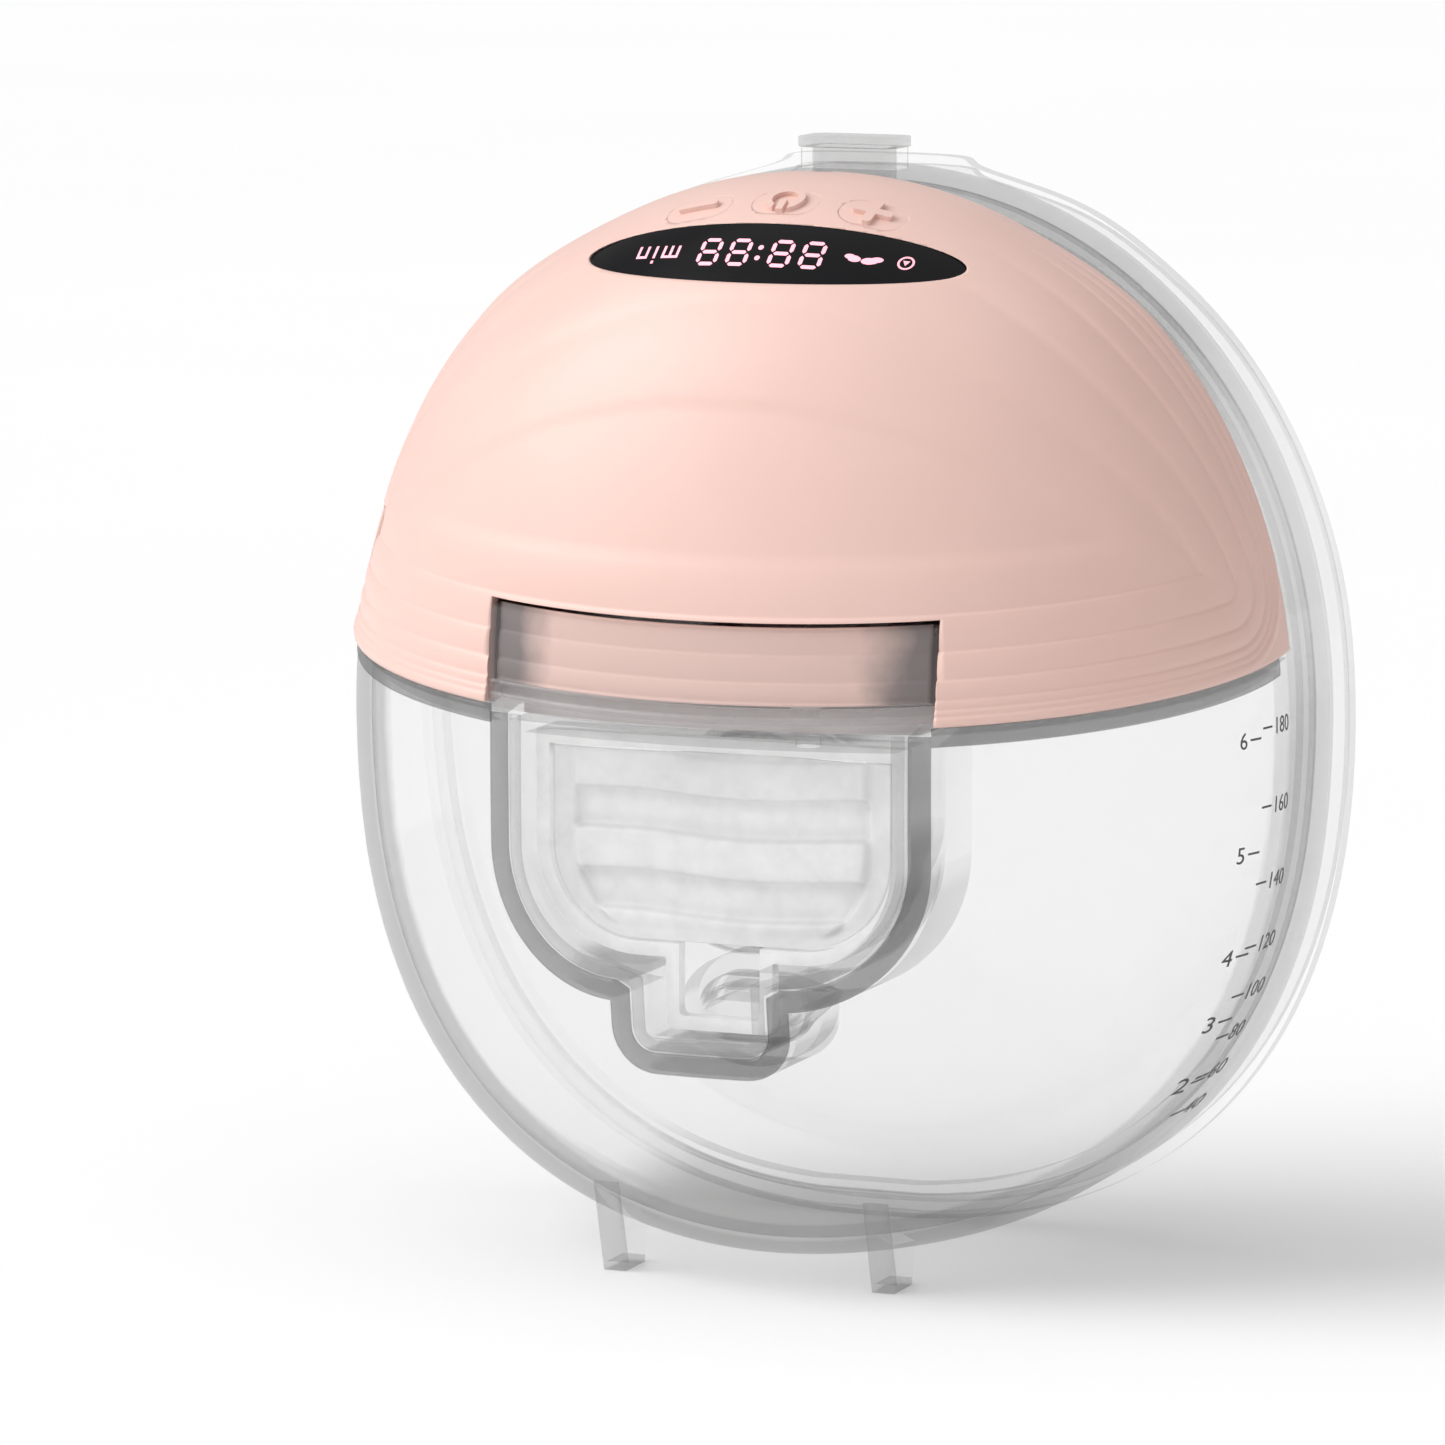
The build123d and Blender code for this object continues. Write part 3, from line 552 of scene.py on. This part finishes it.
def front_panel(name, width, low, high, front, thick, material, across_count=120, up_count=70):
    """A closed panel that follows the dome between two heights over the split."""
    outer, inner = [], []
    for i in range(up_count + 1):
        height = low + (high - low) * i / up_count
        row_out, row_in = [], []
        for j in range(across_count + 1):
            point = on_slope(width * (2 * j / across_count - 1), height)
            normal = normal_at(point)
            stand = front(point, height)
            row_out.append(point + normal * stand)
            row_in.append(point + normal * (stand - thick))
        outer.append(row_out)
        inner.append(row_in)
    return shell_solid(name, outer, inner, material)


tab_panel = front_panel("release_tab_panel", TAB_HALF - 0.5 * MM, TAB_FOOT + 2.3 * MM, TAB_TOP - 0.1 * MM,
                        lambda point, height: -1.6 * MM + 0.8 * (terrace(point) + 0.75 * MM), 0.5 * MM,
                        tab_panel_material())
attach(tab_panel, "release_tab")


def tab_ridge(name, low, tall, stand):
    """A slim rib along the tab."""
    def profile(point, height):
        up = (height - low) / tall
        return 0.02 * MM + stand * max(0.0, 1 - (2 * up - 1) ** 2)
    rib = front_panel(name, TAB_HALF - 0.2 * MM, low, low + tall, profile, 0.3 * MM,
                      MATERIALS["smoky_plastic"], 80, 10)
    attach(rib, "release_tab")


tab_ridge("release_tab_lip", TAB_FOOT + 0.15 * MM, 0.9 * MM, 0.3 * MM)
tab_ridge("release_tab_rib", TAB_FOOT + 1.9 * MM, 0.6 * MM, 0.2 * MM)

# ---------------------------------------------------------------- flat edges of the clear walls
POCKET_HALF, POCKET_FLOOR, POCKET_CORNER, POCKET_WALL = 25.6 * MM, 39.2 * MM, 15.2 * MM, 2.6 * MM
NECK_HALF, NECK_FLOOR, NECK_CORNER = 8.8 * MM, 30.5 * MM, 3 * MM


def pocket_outline(inset, top):
    """The pocket's U with its neck as (x, z), from its upper left end to its upper right end."""
    half, floor, corner = POCKET_HALF - inset, POCKET_FLOOR + inset, POCKET_CORNER - inset
    neck, neck_floor = NECK_HALF - inset, NECK_FLOOR + inset
    neck_corner = max(NECK_CORNER - inset, 0.8 * MM)
    last = pi / 2 if half - corner >= neck else pi / 2 - asin((neck - half + corner) / corner)
    points = [(-half, top + (floor + corner - top) * i / 16) for i in range(16)]
    for i in range(25):
        angle = last * i / 24
        points.append((-half + corner - corner * cos(angle), floor + corner - corner * sin(angle)))
    for i in range(1, 7):
        points.append((-neck, floor + (neck_floor + neck_corner - floor) * i / 6))
    for i in range(1, 11):
        angle = pi / 2 * i / 10
        points.append((-neck + neck_corner - neck_corner * cos(angle),
                       neck_floor + neck_corner - neck_corner * sin(angle)))
    for i in range(1, 4):
        points.append(((-neck + neck_corner) * (1 - i / 3), neck_floor))
    return points + [(-x, z) for x, z in reversed(points[:-1])]


def ribbon(name, sides, body, material, lift=0.12 * MM, sunk=0.25 * MM):
    """A thin band that lies on the dome between two rows of (x, z)."""
    steps = 4
    outer, inner = [], []
    for step in range(steps + 1):
        part = step / steps
        row = [on_dome(a + (c - a) * part, b + (d - b) * part) for (a, b), (c, d) in zip(*sides)]
        crown = lift * (1 - (2 * part - 1) ** 4)
        outer.append([point + normal_at(point) * crown for point in row])
        inner.append([point - normal_at(point) * sunk for point in row])
    band = shell_solid(name, outer, inner, material)
    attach(band, body)


def split_row(side, first_x, height):
    """Points (x, z) just under the split, from first_x round to the dome's widest place."""
    row = []
    across, deep = section(MID + 2 * MM)
    last = pi / 2 - asin(first_x / across)
    for i in range(41):
        turn = 0.06 + (last - 0.06) * (1 - i / 40)
        z = MID + 2 * MM
        for _ in range(6):
            across, deep = section(z)
            z = split_at(SEAM - deep * sin(turn)) + height
        row.append((side * across * cos(turn), z))
    return row


pocket_top = SPLIT_FRONT - 0.4 * MM
ribbon("cup_pocket_edge", (pocket_outline(-POCKET_WALL, pocket_top), pocket_outline(0, pocket_top)),
       "cup", CUP_EDGE)
ribbon("linker_edge", (pocket_outline(0.35 * MM, pocket_top), pocket_outline(1.9 * MM, pocket_top)),
       "linker", LINKER_EDGE, 0.1 * MM)
for side, word in ((-1, "left"), (1, "right")):
    shelf_rows = [split_row(side, POCKET_HALF + POCKET_WALL, height) for height in (-2.5 * MM, -0.25 * MM)]
    ribbon(f"cup_shelf_edge_{word}", shelf_rows, "cup", CUP_EDGE)

FOOT_X, FOOT_HALF, FOOT_EDGE = 17.5 * MM, 1.45 * MM, 0.9 * MM
FOOT_TOP, FOOT_TOP_Y = 18 * MM, SEAM - 30 * MM
FOOT_FRONT_Y, FOOT_REAR_Y = SEAM - 25 * MM, SEAM - 19 * MM
for side, word in ((-1, "left"), (1, "right")):
    start, end = Vector((side * FOOT_X, FOOT_FRONT_Y, 0)), Vector((side * FOOT_X, FOOT_TOP_Y, FOOT_TOP))
    share = 0.0
    while outside(start.lerp(end, share), 0.5 * MM) > 0:
        share += 0.02
    top = start.lerp(end, share)
    outline = [(top.y - 0.1 * MM, top.z), (FOOT_FRONT_Y - 0.1 * MM, 0.05 * MM), (FOOT_REAR_Y, 0.05 * MM),
               (FOOT_REAR_Y, FOOT_EDGE), (FOOT_FRONT_Y + FOOT_EDGE, FOOT_EDGE), (top.y + FOOT_EDGE, top.z)]
    foot_edge = prism(f"foot_edge_{word}", outline, Vector((side * FOOT_X, 0, 0)), Vector((0, 1, 0)),
                      Vector((0, 0, 1)), -FOOT_HALF, FOOT_HALF)
    foot_edge.data.materials[0] = LINKER_EDGE
    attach(foot_edge, "cup")

# ---------------------------------------------------------------- corrugated diaphragm
skin_low, skin_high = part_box("diaphragm_membrane")
MEMBRANE_Y = (skin_low.y + skin_high.y) / 2
PANEL_HALF = skin_high.x
PANEL_CORNER = 11.3 * MM
PANEL_FLOOR = 43.1 * MM
FOLD = 4.9 * MM


def panel_half_width(z):
    """Half-width of the U-shaped diaphragm at height z."""
    up = z - PANEL_FLOOR
    if up >= PANEL_CORNER:
        return PANEL_HALF
    return PANEL_HALF - PANEL_CORNER + sqrt(PANEL_CORNER ** 2 - (PANEL_CORNER - up) ** 2)


def fold_height(x, z):
    """Stand-off of the folds: flat raised bands with softer, wavy valleys between them."""
    wavy = z + 0.38 * MM * sin(2 * pi * x / (33 * MM) + 0.9 + 0.15 * sin(z / (3 * MM)))
    turn = (skin_high.z - wavy) / (2 * FOLD)
    swing = sin(2 * pi * turn)
    band = swing / sqrt(swing * swing + 0.03)
    crown = 0.25 * abs(swing)
    inside = 1 - smooth_step(abs(x), panel_half_width(z) - 3.4 * MM, panel_half_width(z) - 2.5 * MM)
    low = smooth_step(z, PANEL_FLOOR + 1.2 * MM, PANEL_FLOOR + 2.8 * MM)
    bead = 0.5 * (1 - low)
    return MM * ((band * (0.8 if band > 0 else 0.55 + crown)) * inside * low + bead)


folds_front, folds_back = [], []
fold_rows, fold_columns = ((170, 130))
for i in range(fold_rows + 1):
    z = PANEL_FLOOR + (skin_high.z - PANEL_FLOOR) * i / fold_rows
    half = panel_half_width(z)
    xs = [half * (2 * j / fold_columns - 1) for j in range(fold_columns + 1)]
    folds_front.append([Vector((x, MEMBRANE_Y - 0.35 * MM - fold_height(x, z), z)) for x in xs])
    folds_back.append([Vector((x, MEMBRANE_Y + 0.45 * MM - fold_height(x, z), z)) for x in xs])
diaphragm_skin = shell_solid("diaphragm_skin", folds_front, folds_back, MATERIALS["silicone_milky"])
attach(diaphragm_skin, "diaphragm")
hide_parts("diaphragm_membrane")


# ---------------------------------------------------------------- lit symbols of the display
def on_display(u, v, lift=0.03 * MM):
    """A point of the window, u to the wearer's right and v up the window for the wearer."""
    start = display_spot - X_AXIS * u - display_up * v + display_out * 15 * MM
    return land(start, -display_out) + display_out * lift


def display_patch(name, outlines, material="led_pink"):
    """Flat signs laid on the window, one polygon per outline, each a thin solid."""
    points, faces = [], []
    for outline in outlines:
        start = len(points)
        count = len(outline)
        for lift in (-0.05 * MM, 0.04 * MM):
            points += [on_display(u * MM, v * MM, lift) for u, v in outline]
        faces.append(tuple(range(start + count, start + 2 * count)))
        faces.append(tuple(reversed(range(start, start + count))))
        for i in range(count):
            j = (i + 1) % count
            faces.append((start + i, start + j, start + count + j, start + count + i))
    piece = mesh_object(name, points, faces, MATERIALS[material], smooth=False)
    face_outwards(piece)
    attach(piece, "host")


SEGMENTS = {
    "a": ((0, 1), (1, 1)), "b": ((1, 1), (1, 0.5)), "c": ((1, 0.5), (1, 0)), "d": ((0, 0), (1, 0)),
    "e": ((0, 0.5), (0, 0)), "f": ((0, 1), (0, 0.5)), "g": ((0, 0.5), (1, 0.5)),
}


def bar(start, end, thick):
    """Hexagonal bar between two points."""
    a, b = Vector(start), Vector(end)
    along = (b - a).normalized()
    side = Vector((-along.y, along.x)) * thick / 2
    a, b = a + along * thick * 0.35, b - along * thick * 0.35
    tip = along * thick * 0.5
    return [tuple(p) for p in (a, a + tip - side, b - tip - side, b, b - tip + side, a + tip + side)]


def digit(x, y, width, height, lit, thick=0.5):
    bars = []
    for name in lit:
        (x0, y0), (x1, y1) = SEGMENTS[name]
        bars.append(bar((x + x0 * width, y + y0 * height), (x + x1 * width, y + y1 * height), thick))
    return bars


digits = []
for place in (-6.6, -2.7, 2.7, 6.6):
    digits += digit(place - 1.15, -1.7, 2.3, 3.4, "abcdefg")
for rise in (-0.75, 0.75):
    digits.append([(dx * 0.34 + 0.1, rise + dy * 0.34) for dx, dy in ellipse(1, 1, 12)])
display_patch("display_digits", digits)

def stroke(left, right, low, high):
    """A rectangle of the unit sign."""
    return [(left, low), (right, low), (right, high), (left, high)]


letters = [stroke(x, x + 0.35, -0.9, 0.6) for x in (10.8, 11.8, 12.8)]
letters += [stroke(10.8, 13.15, 0.5, 0.85), stroke(14.0, 14.35, -0.9, 0.85), stroke(14.0, 14.35, 1.2, 1.6)]
letters += [stroke(x, x + 0.35, -0.9, 0.6) for x in (15.2, 16.4)]
letters += [stroke(15.2, 16.75, 0.5, 0.85)]
display_patch("display_unit", letters)


def leaf(x, y, size, turn):
    """A leaf-shaped sign."""
    points = []
    for i in range(20):
        angle = 2 * pi * i / 20
        r = size * (0.55 + 0.45 * cos(angle) ** 2) * (1.0 if cos(angle) > 0 else 0.8)
        points.append((x + r * cos(angle + turn), y + 0.55 * r * sin(angle + turn)))
    return points


RING_AT, RING_RADIUS, RING_PARTS = -17.6, 0.95, 24
ring = ellipse(RING_RADIUS, RING_RADIUS, RING_PARTS)
ring_parts = []
for i in range(RING_PARTS):
    (a, b), (c, d) = ring[i], ring[(i + 1) % RING_PARTS]
    ring_parts.append([(RING_AT + a, b), (RING_AT + c, d), (RING_AT + c * 0.75, d * 0.75),
                       (RING_AT + a * 0.75, b * 0.75)])
ring_parts.append([(-18.0, -0.3), (-17.2, -0.3), (-17.6, 0.4)])
display_patch("display_signs", [leaf(-13.9, 0.1, 1.5, 0.5), leaf(-11.3, -0.1, 1.3, 2.4), *ring_parts])


# ---------------------------------------------------------------- printed scale on the cup
PRINT_SIZE, PRINT_LINE = 2.9 * MM, 0.13 * MM


def text_outline(words, size):
    """Flat filled mesh of some characters, as points (u, v) and faces, in metres."""
    data = bpy.data.curves.new("words", "FONT")
    data.body = words
    data.size = size
    data.resolution_u = 3
    holder = bpy.data.objects.new("words", data)
    bpy.context.scene.collection.objects.link(holder)
    bpy.context.view_layer.update()
    mesh = bpy.data.meshes.new_from_object(holder.evaluated_get(bpy.context.evaluated_depsgraph_get()))
    points = [(v.co.x, v.co.y) for v in mesh.vertices]
    faces = [tuple(f.vertices) for f in mesh.polygons]
    dispose(holder)
    return points, faces


def on_side(y, z, lift=0.06 * MM):
    """A point of the cup's right side wall."""
    point = land(Vector((90 * MM, y, z)), -X_AXIS, 90 * MM)
    return point + normal_at(point) * lift


def scale_print(name, amounts, first, gap_before, dash_first):
    """Numbers and dashes on the side wall. They slant back and widen where the wall turns under."""
    points, faces = [], []
    for amount, height in amounts.items():
        z = height * MM
        drop = (69.0 - height) ** 2
        stretch = 1 + 0.0006 * drop
        digits_wide = 1.65 * MM * len(str(amount)) * stretch
        start_y = (first + 0.0017 * drop) * MM
        dash_long = (2.1 + 0.001 * drop) * MM
        dash_y = start_y if dash_first else start_y + digits_wide + gap_before * MM
        text_y = start_y + dash_long + gap_before * MM if dash_first else start_y
        start = len(points)
        flat, shapes = text_outline(str(amount), PRINT_SIZE)
        points += [on_side(text_y + u * stretch, z - 1.0 * MM + v) for u, v in flat]
        faces += [tuple(start + i for i in shape) for shape in shapes]
        start = len(points)
        count = 6
        for i in range(count + 1):
            y = dash_y + dash_long * i / count
            points += [on_side(y, z - PRINT_LINE), on_side(y, z + PRINT_LINE)]
        for i in range(count):
            a = start + 2 * i
            faces.append((a, a + 2, a + 3, a + 1))
    piece = mesh_object(name, points, faces, PRINT, smooth=False)
    thick = piece.modifiers.new("thick", "SOLIDIFY")
    thick.thickness = 0.04 * MM
    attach(piece, "cup")


ML_HEIGHTS = {180: 68.7, 160: 59.1, 140: 49.7, 120: 41.7, 100: 35.5, 80: 30.2, 60: 25.0, 40: 20.0}
OZ_HEIGHTS = {6: 67.6, 5: 53.7, 4: 40.9, 3: 32.5, 2: 24.5}
scale_print("scale_millilitres", ML_HEIGHTS, 2.9, 0.5, True)
scale_print("scale_ounces", OZ_HEIGHTS, -1.6, 0.3, False)

# ---------------------------------------------------------------- camera, floor and light
scene = bpy.context.scene
AZIMUTH, ELEVATION, DISTANCE = radians(20.8), radians(8.0), 1.0
back = Vector((sin(AZIMUTH) * cos(ELEVATION), -cos(AZIMUTH) * cos(ELEVATION), sin(ELEVATION)))
right = Vector((cos(AZIMUTH), sin(AZIMUTH), 0))
upward = back.cross(right)
pivot = Vector((0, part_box("cup_rear_shell")[1].y, MID + 2 * MM))
AIM_LEFT, AIM_DOWN = 19.96 * MM, 6.57 * MM
target = pivot - right * AIM_LEFT - upward * AIM_DOWN
camera_data = bpy.data.cameras.new("camera")
camera_data.lens = 199
camera_data.sensor_width = 36
camera = bpy.data.objects.new("camera", camera_data)
scene.collection.objects.link(camera)
camera.location = pivot + back * DISTANCE
camera.rotation_mode = "QUATERNION"
camera.rotation_quaternion = (target - camera.location).to_track_quat("-Z", "Y")
camera_data.clip_start, camera_data.clip_end = 0.01, 20
scene.camera = camera

FLOOR_HALF = 4.0
corners = [(-1, -1), (1, -1), (1, 1), (-1, 1)]
floor_paint = moulded("pale_floor", (0.955, 0.955, 0.955), (0.97, 0.97, 0.97), 0.8, patch=3.0, bump=0.0)
floor = mesh_object("floor", [(x * FLOOR_HALF, y * FLOOR_HALF, 0) for x, y in corners], [(0, 1, 2, 3)],
                    floor_paint)


def sun_light(name, towards, strength, softness):
    data = bpy.data.lights.new(name, "SUN")
    data.energy = strength
    data.angle = radians(softness)
    lamp = bpy.data.objects.new(name, data)
    scene.collection.objects.link(lamp)
    lamp.rotation_mode = "QUATERNION"
    lamp.rotation_quaternion = Vector(towards).to_track_quat("-Z", "Y")


sun_light("key", (0.85, 0.54, -0.80), 2.1, 45)
sun_light("top", (0.1, 0.25, -1.0), 0.75, 80)

world = bpy.data.worlds.new("studio")
scene.world = world
world.use_nodes = True
nodes, links = world.node_tree.nodes, world.node_tree.links
nodes.clear()
sky = nodes.new("ShaderNodeBackground")
sky.inputs["Color"].default_value = (1, 1, 1, 1)
sky.inputs["Strength"].default_value = 0.42
backdrop = nodes.new("ShaderNodeBackground")
backdrop.inputs["Color"].default_value = (1, 1, 1, 1)
backdrop.inputs["Strength"].default_value = 1.1
path = nodes.new("ShaderNodeLightPath")
choose = nodes.new("ShaderNodeMixShader")
links.new(path.outputs["Is Camera Ray"], choose.inputs[0])
links.new(sky.outputs[0], choose.inputs[1])
links.new(backdrop.outputs[0], choose.inputs[2])
links.new(choose.outputs[0], nodes.new("ShaderNodeOutputWorld").inputs["Surface"])
scene.view_settings.view_transform = "Standard"
scene.cycles.transparent_max_bounces = 64
